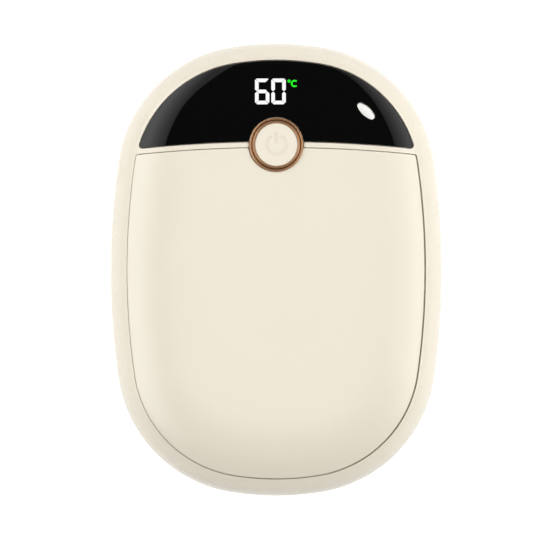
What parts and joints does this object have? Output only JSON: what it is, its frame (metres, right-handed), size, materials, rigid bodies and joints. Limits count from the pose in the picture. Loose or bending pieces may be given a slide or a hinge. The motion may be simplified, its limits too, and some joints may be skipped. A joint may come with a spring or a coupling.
{
  "type": "rechargeable hand warmer",
  "caption": "Pebble-shaped pocket hand warmer with an inset heat plate on each face, a dark display window, a ringed push button, a charging port and a lanyard hole.",
  "frame": {"origin": "under the middle of the body, on the flat of the rear heat plate that it rests on", "axes": "+X to the right as seen from the front, +Y towards the display end, +Z out of the front face"},
  "size_m": [0.0734, 0.1, 0.0274],
  "materials": {
    "housing_cream": "satin",
    "plate_cream": "satin",
    "window_black": "gloss",
    "ring_copper": "polished",
    "cap_cream": "satin",
    "dark_plastic": "matte",
    "steel": "satin",
    "foam": "matte",
    "board_green": "satin",
    "chip_black": "matte",
    "ferrite": "matte",
    "capacitor_tan": "satin",
    "nylon_white": "satin",
    "cell_foil": "satin",
    "film_amber": "gloss",
    "bead_glass": "gloss",
    "tape_clear": "matte",
    "lead_red": "satin"
  },
  "bodies": {
    "housing": {"front_shell": "housing_cream", "rear_shell": "housing_cream", "front_heat_plate": "plate_cream", "rear_heat_plate": "plate_cream", "display_window": "window_black", "button_ring": "ring_copper", "switch_body": "steel", "display_module": "dark_plastic", "display_shroud": "foam", "main_board": "board_green", "usb_c_socket": "steel", "controller_chips": "chip_black", "power_inductor": "ferrite", "capacitors": "capacitor_tan", "battery_connector": "nylon_white", "battery_cells": "cell_foil", "cell_tabs": "steel", "protection_board": "board_green", "inner_frame": "nylon_white", "insulation_pads": "foam", "front_heater_film": "film_amber", "rear_heater_film": "film_amber", "thermistors": "bead_glass", "front_plate_tape": "tape_clear", "rear_plate_tape": "tape_clear", "window_tape": "tape_clear", "shell_screws": "steel", "board_screws": "steel", "battery_leads": "lead_red"},
    "button": {"power_button": "cap_cream", "switch_stem": "dark_plastic"}
  },
  "joints": [
    {"name": "button_press", "type": "slide", "parent": "housing", "child": "button", "axis": [0, 0, -1], "range_m": [0, 0.0004], "stiffness_N_per_m": 3000, "springref_m": -0.0002}
  ]
}
